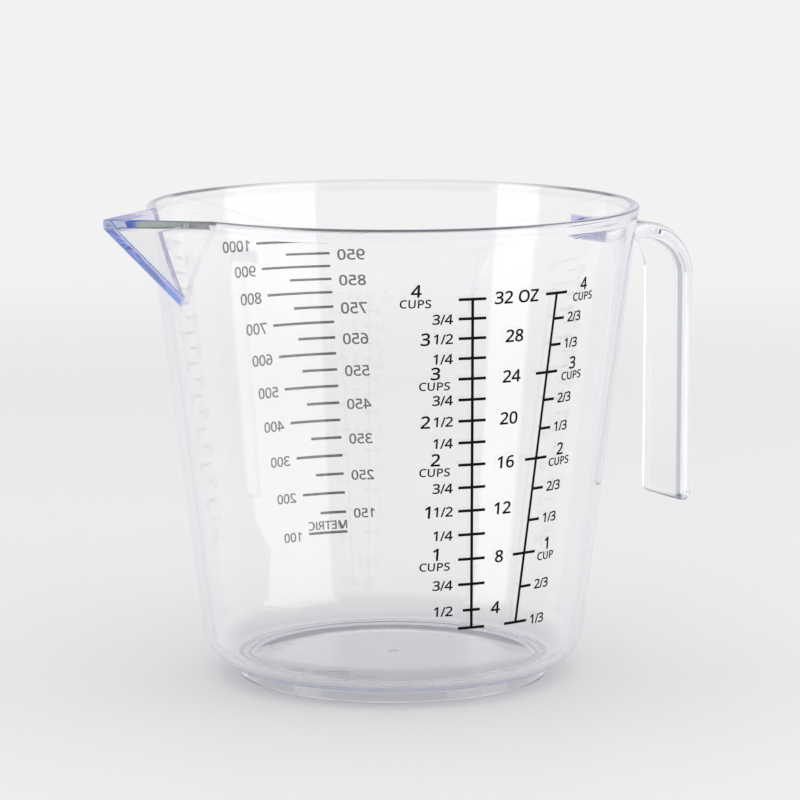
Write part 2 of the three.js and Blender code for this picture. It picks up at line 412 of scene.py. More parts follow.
class Recipe:
    """A Geometry Nodes tree with named inputs, which can be put on any object."""

    FLOAT = "NodeSocketFloat"
    COUNT = "NodeSocketInt"
    MATERIAL = "NodeSocketMaterial"
    GEOMETRY = "NodeSocketGeometry"

    def __init__(self, name: str, lengths: tuple[str, ...], counts: tuple[str, ...] = ()) -> None:
        """Make an empty tree.

        Args:
            name: Name of the tree.
            lengths: Names of its inputs that are plain numbers.
            counts: Names of its inputs that are whole numbers.
        """
        self.tree = bpy.data.node_groups.new(name, "GeometryNodeTree")
        face = self.tree.interface
        face.new_socket("Geometry", in_out="INPUT", socket_type=self.GEOMETRY)
        kinds = {**dict.fromkeys(lengths, self.FLOAT), **dict.fromkeys(counts, self.COUNT)}
        kinds["Material"] = self.MATERIAL
        self.keys = {
            label: face.new_socket(label, in_out="INPUT", socket_type=kind).identifier
            for label, kind in kinds.items()
        }
        face.new_socket("Geometry", in_out="OUTPUT", socket_type=self.GEOMETRY)
        self.sheet = NumberSheet(self.tree)
        self.given = self.sheet.add("NodeGroupInput").outputs

    def finish(self, geometry: Socket) -> None:
        """End the tree in real geometry that carries the material.

        Args:
            geometry: What the tree has made.
        """
        real = self.sheet.first("GeometryNodeRealizeInstances", {"Geometry": geometry})
        material = self.given["Material"]
        dressed = self.sheet.first("GeometryNodeSetMaterial", {"Geometry": real, "Material": material})
        self.sheet.add("NodeGroupOutput", {"Geometry": dressed})

    def finish_leaning(self, lines: Socket) -> None:
        """End a print's tree: its lines spread with their height and join the print that comes in.

        Args:
            lines: Flat lines, upright until now.
        """
        sheet, given = self.sheet, self.given
        height = sheet.parts(sheet.first("GeometryNodeInputPosition"))["Y"]
        share = sheet.over(sheet.minus(height, given["Lowest"]), sheet.minus(given["Top"], given["Lowest"]))
        shift = sheet.vector(sheet.between(given["Spread Low"], given["Spread Top"], share), 0.0, 0.0)
        leaning = sheet.first("GeometryNodeSetPosition", {"Geometry": lines, "Offset": shift})
        both = sheet.add("GeometryNodeJoinGeometry")
        for flat_print in (given["Geometry"], leaning):
            sheet.put(both.inputs[0], flat_print)
        self.finish(both.outputs[0])

    def put_on(self, piece: Piece, material: bpy.types.Material, **values: float) -> None:
        """Add the tree to an object as a modifier.

        Args:
            piece: The object.
            material: Material of what the tree makes.
            values: The inputs, with _ for each space in a name.
        """
        step = piece.modifiers.new(self.tree.name, "NODES")
        step.node_group = self.tree
        step[self.keys["Material"]] = material
        for label, value in values.items():
            step[self.keys[label.replace("_", " ")]] = value


def strip_recipe() -> Recipe:
    """A flat strip swept along an arm, a round bend and a straight grip.

    Returns:
        The finished tree.
    """
    recipe = Recipe(
        "strip_along_path",
        ("Root X", "Grip X", "Arm Z", "End Z", "Bend Radius", "Width", "Thickness", "Edge Radius"),
        ("Bend Steps", "Edge Steps"),
    )
    sheet, given = recipe.sheet, recipe.given
    # Three points: the root, the corner of the bend and the free end
    line = sheet.first("GeometryNodeMeshLine", {"Count": 3})
    index = sheet.first("GeometryNodeInputIndex")
    outwards = sheet.math("MINIMUM", index, 1.0)
    down = sheet.math("MAXIMUM", sheet.minus(index, 1.0), 0.0)
    corner = sheet.vector(
        sheet.between(given["Root X"], given["Grip X"], outwards),
        0.0,
        sheet.between(given["Arm Z"], given["End Z"], down),
    )
    bent = sheet.first("GeometryNodeSetPosition", {"Geometry": line, "Position": corner})
    sharp_path = sheet.first("GeometryNodeMeshToCurve", {"Mesh": bent})
    sharp_section = sheet.first(
        "GeometryNodeCurvePrimitiveQuadrilateral", {"Width": given["Width"], "Height": given["Thickness"]}
    )
    path, section = (
        sheet.first(
            "GeometryNodeFilletCurve",
            {"Curve": curve, "Radius": given[f"{part} Radius"], "Count": given[f"{part} Steps"]},
            mode="POLY",
        )
        for curve, part in ((sharp_path, "Bend"), (sharp_section, "Edge"))
    )
    sweep = {"Curve": path, "Profile Curve": section, "Fill Caps": True}
    recipe.finish(sheet.first("GeometryNodeCurveToMesh", sweep))
    return recipe


def tick_recipe() -> Recipe:
    """A row of flat ticks, one for each equal step in volume, added to the print that comes in.

    Returns:
        The finished tree.
    """
    recipe = Recipe(
        "tick_row",
        (
            "First Share", "Share Step", "Lowest", "Top", "Bore Radius", "Slope", "Left Low", "Left Top",
            "Right Low", "Right Top", "Spread Low", "Spread Top", "Line Width", "Film",
        ),
        ("Count", "Columns"),
    )
    sheet, given = recipe.sheet, recipe.given
    index = sheet.first("GeometryNodeInputIndex")
    share = sheet.along(given["First Share"], given["Share Step"], index)
    low_bore, top_bore = (
        sheet.along(given["Bore Radius"], given["Slope"], given[mark]) for mark in ("Lowest", "Top")
    )
    cube = sheet.between(sheet.math("POWER", low_bore, 3.0), sheet.math("POWER", top_bore, 3.0), share)
    bore = sheet.math("POWER", cube, 1 / 3)
    height = sheet.plus(given["Lowest"], sheet.over(sheet.minus(bore, low_bore), given["Slope"]))
    left, right = (
        sheet.between(given[f"{side} Low"], given[f"{side} Top"], share) for side in ("Left", "Right")
    )
    place = sheet.vector(sheet.over(sheet.plus(left, right), 2.0), height, sheet.over(given["Film"], 2.0))
    points = sheet.first("GeometryNodePoints", {"Count": given["Count"], "Position": place})
    bar = sheet.first(
        "GeometryNodeMeshCube",
        {"Size": (1.0, 1.0, 1.0), "Vertices X": given["Columns"], "Vertices Y": 2, "Vertices Z": 2},
    )
    size = sheet.vector(sheet.minus(right, left), given["Line Width"], given["Film"])
    ticks = sheet.first("GeometryNodeInstanceOnPoints", {"Points": points, "Instance": bar, "Scale": size})
    recipe.finish_leaning(sheet.first("GeometryNodeRealizeInstances", {"Geometry": ticks}))
    return recipe


def rail_recipe() -> Recipe:
    """The long line of a ladder, added to the print that comes in.

    Returns:
        The finished tree.
    """
    recipe = Recipe(
        "ladder_rail",
        ("Lowest", "Top", "Spread Low", "Spread Top", "Rail Width", "Line Width", "Film"),
        ("Rows",),
    )
    sheet, given = recipe.sheet, recipe.given
    reach = sheet.plus(sheet.minus(given["Top"], given["Lowest"]), given["Line Width"])
    size = sheet.vector(given["Rail Width"], reach, given["Film"])
    bar = sheet.first(
        "GeometryNodeMeshCube",
        {"Size": size, "Vertices X": 2, "Vertices Y": given["Rows"], "Vertices Z": 2},
    )
    middle = sheet.vector(
        0.0, sheet.over(sheet.plus(given["Top"], given["Lowest"]), 2.0), sheet.over(given["Film"], 2.0)
    )
    recipe.finish_leaning(sheet.first("GeometryNodeSetPosition", {"Geometry": bar, "Offset": middle}))
    return recipe


def wrap_recipe() -> Recipe:
    """Lays flat print round the tapered wall: X is the arc, Y the height and Z the film's thickness.

    Returns:
        The finished tree.
    """
    recipe = Recipe("wrap_on_wall", ("Wall Radius", "Slope", "Face Angle", "Axis X", "Film Gap"))
    sheet, given = recipe.sheet, recipe.given
    flat = sheet.parts(sheet.first("GeometryNodeInputPosition"))
    wall = sheet.along(given["Wall Radius"], given["Slope"], flat["Y"])
    angle = sheet.plus(given["Face Angle"], sheet.over(flat["X"], wall))
    radius = sheet.plus(sheet.plus(wall, given["Film Gap"]), flat["Z"])
    place = sheet.vector(
        sheet.along(given["Axis X"], radius, sheet.math("COSINE", angle)),
        sheet.times(radius, sheet.math("SINE", angle)),
        flat["Y"],
    )
    recipe.finish(
        sheet.first("GeometryNodeSetPosition", {"Geometry": given["Geometry"], "Position": place})
    )
    return recipe


# Finishes


@dataclass(frozen=True)
class Variation:
    """Slow drift and fine grain over a surface, with scales per metre, and its roughness."""

    drift: float
    grain: float
    grain_share: float
    smooth: float
    rough: float

    NAME = "surface_variation"
    DETAILS = {"Drift Scale": 2.0, "Grain Scale": 3.0}

    def group(self) -> bpy.types.ShaderNodeTree:
        """The shader node group that every finish shares, built at its first use.

        Returns:
            A group that gives a mask, a roughness and a bump height.
        """
        if self.NAME in bpy.data.node_groups:
            return bpy.data.node_groups[self.NAME]
        tree = bpy.data.node_groups.new(self.NAME, "ShaderNodeTree")
        face = tree.interface
        face.new_socket("Vector", in_out="INPUT", socket_type="NodeSocketVector")
        for label in (*self.DETAILS, "Grain Share", "Smooth", "Rough"):
            face.new_socket(label, in_out="INPUT", socket_type="NodeSocketFloat")
        for label in ("Mask", "Roughness", "Height"):
            face.new_socket(label, in_out="OUTPUT", socket_type="NodeSocketFloat")
        sheet = NumberSheet(tree)
        given = sheet.add("NodeGroupInput").outputs
        drift, grain = (
            sheet.first(
                "ShaderNodeTexNoise", {"Vector": given["Vector"], "Scale": given[scale], "Detail": detail}
            )
            for scale, detail in self.DETAILS.items()
        )
        mask = sheet.between(drift, grain, given["Grain Share"])
        roughness = sheet.between(given["Smooth"], given["Rough"], mask)
        sheet.add("NodeGroupOutput", {"Mask": mask, "Roughness": roughness, "Height": drift})
        return tree

    def put_in(self, sheet: ShaderSheet) -> bpy.types.NodeOutputs:
        """Place the group in a material.

        Args:
            sheet: The material's nodes.

        Returns:
            The group's outputs.
        """
        node = sheet.add("ShaderNodeGroup", node_tree=self.group())
        for label, value in {
            "Vector": sheet.place(), "Drift Scale": self.drift, "Grain Scale": self.grain,
            "Grain Share": self.grain_share, "Smooth": self.smooth, "Rough": self.rough,
        }.items():
            sheet.put(node.inputs[label], value)
        return node.outputs


def new_material(name: str) -> tuple[bpy.types.Material, ShaderSheet]:
    """An empty node material.

    Args:
        name: Name of the material.

    Returns:
        The material and a sheet on its nodes.
    """
    material = bpy.data.materials.new(name)
    material.use_nodes = True
    material.node_tree.nodes.clear()
    return material, ShaderSheet(material.node_tree)


@dataclass(frozen=True)
class ClearPlastic:
    """Glossy clear plastic with a faint blue cast in thick places and painted light in its base colour.

    A pair of values is where a zone starts and where it is full. The _x, _y and _z pairs are places in the
    frame, the _rise pairs are slopes of the view, and the flank and front pairs say how far a point on the
    brim faces the viewer, from -1 at the back to 1 in front.
    """

    keel_top: Vector
    keel_foot: Vector
    lip_foot: float
    axis_x: float
    ior: float = 1.57
    variation: Variation = Variation(drift=45.0, grain=900.0, grain_share=0.25, smooth=0.0, rough=0.03)
    ripple: float = 0.002 * MM
    ripple_strength: float = 1.0
    absorption: float = 7.0
    cast: Colour = (0.76, 0.77, 0.96, 1.0)
    shadow: Colour = (0.94, 0.945, 0.955, 1.0)
    most_mirrored: float = 2.5
    most_crossed: float = 8.5

    clear: Colour = (0.997, 0.998, 1.0, 1.0)
    # Painted refraction tints on the base colour: lavender on the lip, band and handle root, blue on keel
    # and nose
    lip_lavender: Colour = (0.972, 0.974, 0.99, 1.0)
    # Painted shade: a dark line on the brim's top in low views
    brim_grey: Colour = (0.16, 0.16, 0.18, 1.0)
    keel_blue: Colour = (0.12, 0.21, 0.74, 1.0)
    nose_blue: Colour = (0.36, 0.46, 0.62, 1.0)
    band_lavender: Colour = (0.79, 0.78, 0.95, 1.0)
    root_lavender: Colour = (0.36, 0.36, 0.78, 1.0)

    near_nose_glow: Colour = (0.42, 0.49, 0.45, 1.0)
    near_root_glow: Colour = (0.26, 0.29, 0.28, 1.0)
    far_wall_glow: Colour = (0.86, 0.85, 0.97, 1.0)
    far_band_glow: Colour = (0.78, 0.77, 0.95, 1.0)
    body_glow: Colour = (0.78, 0.78, 0.86, 1.0)
    root_glow: Colour = (0.76, 0.76, 0.92, 1.0)
    rim_glow: Colour = (0.30, 0.30, 0.36, 1.0)
    handle_glow: Colour = (0.64, 0.66, 0.69, 1.0)
    keel_glow: Colour = (0.10, 0.17, 0.62, 1.0)

    keel_reach: float = 3.0 * MM
    keel_blend: Span = (1.15, 0.55)
    lip_blend: Span = (-0.3 * MM, 0.6 * MM)
    nose_x: Span = (-79.5 * MM, -83 * MM)
    band_x: Span = (-76 * MM, -64 * MM)
    spout_x: Span = (-62 * MM, -64 * MM)
    band_z: Span = (124.0 * MM, 124.6 * MM)
    spout_y: Span = (-1 * MM, 1 * MM)
    body_x: Span = (-58 * MM, -50 * MM)
    rim_z: Span = (124.5 * MM, 125.5 * MM)
    brim_z: Span = (126.2 * MM, 126.5 * MM)
    brim_rise: Span = (0.5, 0.3)
    brim_radius: Span = (64.8 * MM, 65.1 * MM)
    flank_start: Span = (-0.88, -0.66)
    flank_end: Span = (-0.3, -0.42)
    front: Span = (0.7, 0.92)
    guide_z: Span = (106 * MM, 112 * MM)
    guide_rise: Span = (0.35, 0.55)
    root_x: Span = (40 * MM, 48 * MM)
    root_z: Span = (100 * MM, 106 * MM)
    handle_x: Span = (63 * MM, 67 * MM)
    joint_x: Span = (57 * MM, 58 * MM)
    joint_end_x: Span = (61.2 * MM, 60.8 * MM)
    joint_low_z: Span = (115.0 * MM, 115.6 * MM)
    joint_high_z: Span = (120.2 * MM, 119.6 * MM)
    joint_side_y: Span = (10.6 * MM, 9.8 * MM)

    def keel_mask(self, sheet: ShaderSheet, place: Socket) -> Socket:
        """How near a point is to the spout's keel line.

        Args:
            sheet: The material's nodes.
            place: Object coordinates.

        Returns:
            A mask that is 1 on the keel.
        """
        line = self.keel_foot - self.keel_top
        keel = line * (1 - self.keel_reach / line.length)
        offset = sheet.first("ShaderNodeVectorMath", {0: place, 1: self.keel_top}, operation="SUBTRACT")
        way = sheet.over(sheet.measure("DOT_PRODUCT", offset, keel.normalized()), keel.length)
        share = sheet.first("ShaderNodeClamp", {"Value": way})
        nearest = sheet.first("ShaderNodeVectorMath", {0: keel, "Scale": share}, operation="SCALE")
        start, full = self.keel_blend
        reach = (self.keel_reach * start, self.keel_reach * full)
        return sheet.past(sheet.measure("DISTANCE", offset, nearest), reach, Blend.SOFT)

    def edge_light(self, sheet: ShaderSheet, place: Socket, keel: Socket) -> Socket:
        """Colour of the light that is caught inside the plastic and leaves at its edges.

        Args:
            sheet: The material's nodes.
            place: Object coordinates.
            keel: Mask of the keel.

        Returns:
            The colour.
        """
        at, past = sheet.parts(place), sheet.past
        body = past(at["X"], self.body_x)
        far = past(at["Y"], self.spout_y)
        far_band = sheet.times(far, past(at["Z"], self.band_z))
        guided = sheet.times(past(sheet.rise(), self.guide_rise), past(at["Z"], self.guide_z))
        rim = sheet.times(body, sheet.math("MAXIMUM", guided, past(at["Z"], self.rim_z)))
        root = sheet.times(past(at["X"], self.root_x), past(at["Z"], self.root_z))
        layers = [
            (past(at["X"], self.band_x), self.near_root_glow),
            (far, self.far_wall_glow),
            (far_band, self.far_band_glow),
            (body, self.body_glow),
            (root, self.root_glow),
            (rim, self.rim_glow),
            (past(at["X"], self.handle_x), self.handle_glow),
            (keel, self.keel_glow),
        ]
        return sheet.layered(self.near_nose_glow, layers)

    def brim_mask(self, sheet: ShaderSheet, place: Socket) -> Socket:
        """Where a dark line is painted on the brim's top: its front and its two far flanks, in a low view.

        Args:
            sheet: The material's nodes.
            place: Object coordinates.

        Returns:
            A mask that is 1 there.
        """
        at, past = sheet.parts(place), sheet.past
        arm = sheet.vector(sheet.minus(at["X"], self.axis_x), at["Y"], 0.0)
        radius = sheet.measure("LENGTH", arm)
        facing = sheet.over(sheet.measure("DOT_PRODUCT", arm, sheet.view()), radius)
        flank = sheet.times(past(facing, self.flank_start), past(facing, self.flank_end))
        front = sheet.times(past(facing, self.front), past(radius, self.brim_radius))
        return sheet.times(
            past(sheet.rise(), self.brim_rise),
            past(at["X"], self.body_x),
            past(at["Z"], self.brim_z),
            sheet.math("MAXIMUM", flank, front),
        )

    def body_tint(self, sheet: ShaderSheet, place: Socket, keel: Socket) -> Socket:
        """Base colour: clear, with painted light (refraction tints and a dark brim line) laid over it.

        Args:
            sheet: The material's nodes.
            place: Object coordinates.
            keel: Mask of the keel.

        Returns:
            The colour.
        """
        at, past = sheet.parts(place), sheet.past
        start, full = self.lip_blend
        band = sheet.times(past(at["X"], self.spout_x), past(at["Z"], self.band_z))
        root = sheet.times(
            past(at["X"], self.joint_x),
            past(at["X"], self.joint_end_x),
            past(at["Z"], self.joint_low_z),
            past(at["Z"], self.joint_high_z),
            past(sheet.math("ABSOLUTE", at["Y"]), self.joint_side_y),
        )
        # Painted light over the clear ground: lavender and blue refraction tints, and a painted dark brim
        # line
        layers = [
            (past(at["Z"], (self.lip_foot + start, self.lip_foot + full)), self.lip_lavender),
            (self.brim_mask(sheet, place), self.brim_grey),
            (keel, self.keel_blue),
            (sheet.times(past(at["X"], self.nose_x), band), self.nose_blue),
            (sheet.times(past(at["Y"], self.spout_y), band), self.band_lavender),
            (root, self.root_lavender),
        ]
        return sheet.layered(self.clear, layers)

    def material(self) -> bpy.types.Material:
        """Mix the plastic: it refracts, and it lets light out where that would stay caught inside.

        Returns:
            The finished material.
        """
        material, sheet = new_material("clear_plastic")
        place = sheet.place()
        varied = self.variation.put_in(sheet)
        keel = self.keel_mask(sheet, place)
        plastic = sheet.first(
            "ShaderNodeBsdfPrincipled",
            {
                "Base Color": self.body_tint(sheet, place, keel),
                "Roughness": varied["Roughness"],
                "IOR": self.ior,
                "Transmission Weight": 1.0,
                "Normal": sheet.bump(varied["Height"], self.ripple, self.ripple_strength),
            },
        )
        glow = sheet.first("ShaderNodeBsdfTransparent", {"Color": self.edge_light(sheet, place, keel)})
        lit = sheet.first("ShaderNodeBsdfTransparent", {"Color": self.shadow})
        ray = sheet.ray()
        trapped = sheet.math(
            "MAXIMUM",
            sheet.math("GREATER_THAN", ray["Glossy Depth"], self.most_mirrored),
            sheet.math("GREATER_THAN", ray["Ray Depth"], self.most_crossed),
        )
        freed = sheet.blended(trapped, plastic, glow)
        surface = sheet.blended(ray["Is Shadow Ray"], freed, lit)
        inside = sheet.first("ShaderNodeVolumeAbsorption", {"Color": self.cast, "Density": self.absorption})
        sheet.add("ShaderNodeOutputMaterial", {"Surface": surface, "Volume": inside})
        return material


@dataclass(frozen=True)
class BlackInk:
    """Printed black ink, a little uneven in shade and shine."""

    dark: Colour = (0.0015, 0.0015, 0.0018, 1.0)
    light: Colour = (0.006, 0.006, 0.007, 1.0)
    variation: Variation = Variation(drift=260.0, grain=3200.0, grain_share=0.5, smooth=0.42, rough=0.62)
    relief: float = 0.01 * MM
    relief_strength: float = 0.6
    specular: float = 0.06

    def material(self) -> bpy.types.Material:
        """Mix the ink.

        Returns:
            The finished material.
        """
        material, sheet = new_material("black_ink")
        varied = self.variation.put_in(sheet)
        ink = sheet.first(
            "ShaderNodeBsdfPrincipled",
            {
                "Base Color": sheet.mixed(varied["Mask"], self.dark, self.light),
                "Roughness": varied["Roughness"],
                "Specular IOR Level": self.specular,
                "Normal": sheet.bump(varied["Height"], self.relief, self.relief_strength),
            },
        )
        sheet.add("ShaderNodeOutputMaterial", {"Surface": ink})
        return material


@dataclass(frozen=True)
class PaleFloor:
    """Pale card near the cup, plain surround farther off, painted dark where plastic bends the view down."""

    surround: Colour
    shade: Colour = (0.86, 0.86, 0.85742, 1.0)
    variation: Variation = Variation(drift=3.0, grain=160.0, grain_share=0.3, smooth=0.5, rough=0.65)
    specular: float = 0.2
    far_reach: Span = (0.45, 0.95)
    # Painted dark refraction: seen only along steep views through the plastic, in place of the lit card
    deep: Colour = (0.06, 0.068, 0.065, 1.0)
    deep_rise: Span = (0.52, 0.64)
    deep_reach: Span = (0.06, 0.08)
    deep_walls: float = 2.5

    def material(self) -> bpy.types.Material:
        """Mix the card, the surround and the dark.

        Returns:
            The finished material.
        """
        material, sheet = new_material("pale_floor")
        varied = self.variation.put_in(sheet)
        card = sheet.first(
            "ShaderNodeBsdfPrincipled",
            {
                "Base Color": self.shade,
                "Roughness": varied["Roughness"],
                "Specular IOR Level": self.specular,
            },
        )
        plain = sheet.first("ShaderNodeEmission", {"Color": self.surround})
        dark = sheet.first("ShaderNodeEmission", {"Color": self.deep})
        reach = sheet.measure("LENGTH", sheet.place())
        far = sheet.times(sheet.past(reach, self.far_reach, Blend.SOFT), sheet.seen())
        ray = sheet.ray()
        steep = sheet.times(
            ray["Is Transmission Ray"],
            sheet.math("GREATER_THAN", ray["Transmission Depth"], self.deep_walls),
            sheet.past(sheet.rise(), self.deep_rise),
            sheet.past(reach, self.deep_reach),
        )
        surface = sheet.blended(steep, sheet.blended(far, card, plain), dark)
        sheet.add("ShaderNodeOutputMaterial", {"Surface": surface})
        return material


# The clear moulding


@dataclass(frozen=True)
class Taper:
    """The tapered round wall, read from the frame, on which every other piece is placed."""

    axis_x: float
    foot_radius: float
    slope: float
    height: float = 127 * MM
    thickness: float = 2.2 * MM
    core_margin: float = 5 * MM

    @classmethod
    def from_frame(cls) -> Taper:
        """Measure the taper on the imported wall, heel and foot.

        Returns:
            The taper.
        """
        wall_high, heel_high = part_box("side_wall")[1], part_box("heel")[1]
        foot_low, foot_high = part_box("foot_ring")
        slope = (wall_high.y - heel_high.y) / (wall_high.z - heel_high.z)
        return cls((foot_low.x + foot_high.x) / 2, wall_high.y - slope * wall_high.z, slope)

    @property
    def lean(self) -> float:
        """Angle of the wall from upright."""
        return math.atan(self.slope)

    @property
    def bore_radius(self) -> float:
        """Inside radius, carried down to the standing plane."""
        return self.inside(0.0)

    @property
    def brim_radius(self) -> float:
        """Outside radius, carried up to the brim."""
        return self.outside(self.height)

    def outside(self, z: float) -> float:
        """Outside radius at a height."""
        return self.foot_radius + self.slope * z

    def inside(self, z: float) -> float:
        """Inside radius at a height."""
        return self.outside(z) - self.thickness / math.cos(self.lean)

    def mark_height(self, share: float, low: float, top: float) -> float:
        """Height of a mark at a share of the volume between the lowest mark and the top one."""
        low_cube, top_cube = self.inside(low) ** 3, self.inside(top) ** 3
        return low + ((low_cube + (top_cube - low_cube) * share) ** (1 / 3) - self.inside(low)) / self.slope

    def core(self, columns: int) -> Piece:
        """A solid out to the middle of the wall, to trim what joins the wall from outside.

        Args:
            columns: Number of steps round the axis.

        Returns:
            The solid, taller than the cup at both ends.
        """
        ends = (-self.core_margin, self.height + self.core_margin)
        low, high = ((self.outside(z) - self.thickness / 2, z) for z in ends)
        return turned("core", [(0.0, low[1]), low, high, (0.0, high[1])], self.axis_x, columns)


@dataclass
class CupBody:
    """Wall, rounded heel, floor, foot ring and brim, turned in one piece."""

    taper: Taper
    heel_radius: float = 9.7 * MM
    heel_start: float = -82.0
    foot_height: float = 3.2 * MM
    foot_width: float = 2.7 * MM
    foot_edge: float = 0.5 * MM
    gate_radius: float = 1.4 * MM
    gate_flat: float = 0.7 * MM
    gate_depth: float = 0.4 * MM
    lip_height: float = 3.0 * MM
    lip_proud: float = 0.3 * MM
    lip_rise: float = 2.6 * MM
    lip_lead: float = 0.65 * MM
    lip_round: float = 0.8 * MM
    columns: int = 512
    row: float = 16 * MM
    heel_steps: int = 14
    foot_steps: int = 5
    gate_steps: int = 4
    swell_steps: int = 8
    lip_steps: int = 7

    @property
    def lip_foot(self) -> float:
        """Height where the brim's thick band starts."""
        return self.taper.height - self.lip_height

    @property
    def heel_centre(self) -> Point:
        """Radius and height of the point that the heel's rounds are drawn about."""
        z = self.foot_height + self.heel_radius
        return self.taper.outside(z) - self.heel_radius / math.cos(self.taper.lean), z

    def foot_section(self) -> list[Point]:
        """Half section from under the floor's centre to the outer end of the foot.

        Returns:
            Radius and height pairs.
        """
        outer, edge, under = self.heel_centre[0], self.foot_edge, self.foot_height
        inner, gate_top, gate_round = outer - self.foot_width, under + self.gate_depth, self.gate_depth / 2
        return [
            (0.0, gate_top),
            (self.gate_flat, gate_top),
            *arc((self.gate_radius, gate_top - gate_round), gate_round, 90, 0, self.gate_steps),
            (self.gate_radius + gate_round, under),
            *arc((inner - edge, under - edge), edge, 90, 0, self.foot_steps),
            *arc((inner + edge, edge), edge, 180, 270, self.foot_steps),
            *arc((outer - edge, edge), edge, 270, 360, self.foot_steps),
            *arc((outer + edge, under - edge), edge, 180, 90, self.foot_steps),
        ]

    def lip_swell(self) -> list[Point]:
        """Soft step from the wall out to the brim's band.

        Returns:
            Radius and height pairs, both ends included.
        """
        points = []
        for way in (i / self.swell_steps for i in range(self.swell_steps + 1)):
            z = self.lip_foot - self.lip_lead + self.lip_rise * way
            points.append((self.taper.outside(z) + self.lip_proud * way * way * (3 - 2 * way), z))
        return points

    def section(self) -> list[Point]:
        """Half section from under the floor's centre, round the brim and back to the floor's top.

        Returns:
            Radius and height pairs.
        """
        taper, lean = self.taper, math.degrees(self.taper.lean)
        round_z = taper.height - self.lip_round
        outer_r = taper.outside(round_z) + self.lip_proud - self.lip_round
        inner_r = taper.inside(round_z) + self.lip_round
        inner_heel = self.heel_radius - taper.thickness
        points = [
            *self.foot_section(),
            *arc(self.heel_centre, self.heel_radius, self.heel_start, -lean, self.heel_steps),
            *self.lip_swell(),
            *arc((outer_r, round_z), self.lip_round, 0, 90, self.lip_steps),
            *arc((inner_r, round_z), self.lip_round, 90, 180, self.lip_steps),
            *arc(self.heel_centre, inner_heel, -lean, -90, self.heel_steps),
            (0.0, self.foot_height + taper.thickness),
        ]
        return split(points, self.row)

    def build(self) -> Piece:
        """The turned body."""
        return turned("clear_moulding", self.section(), self.taper.axis_x, self.columns)


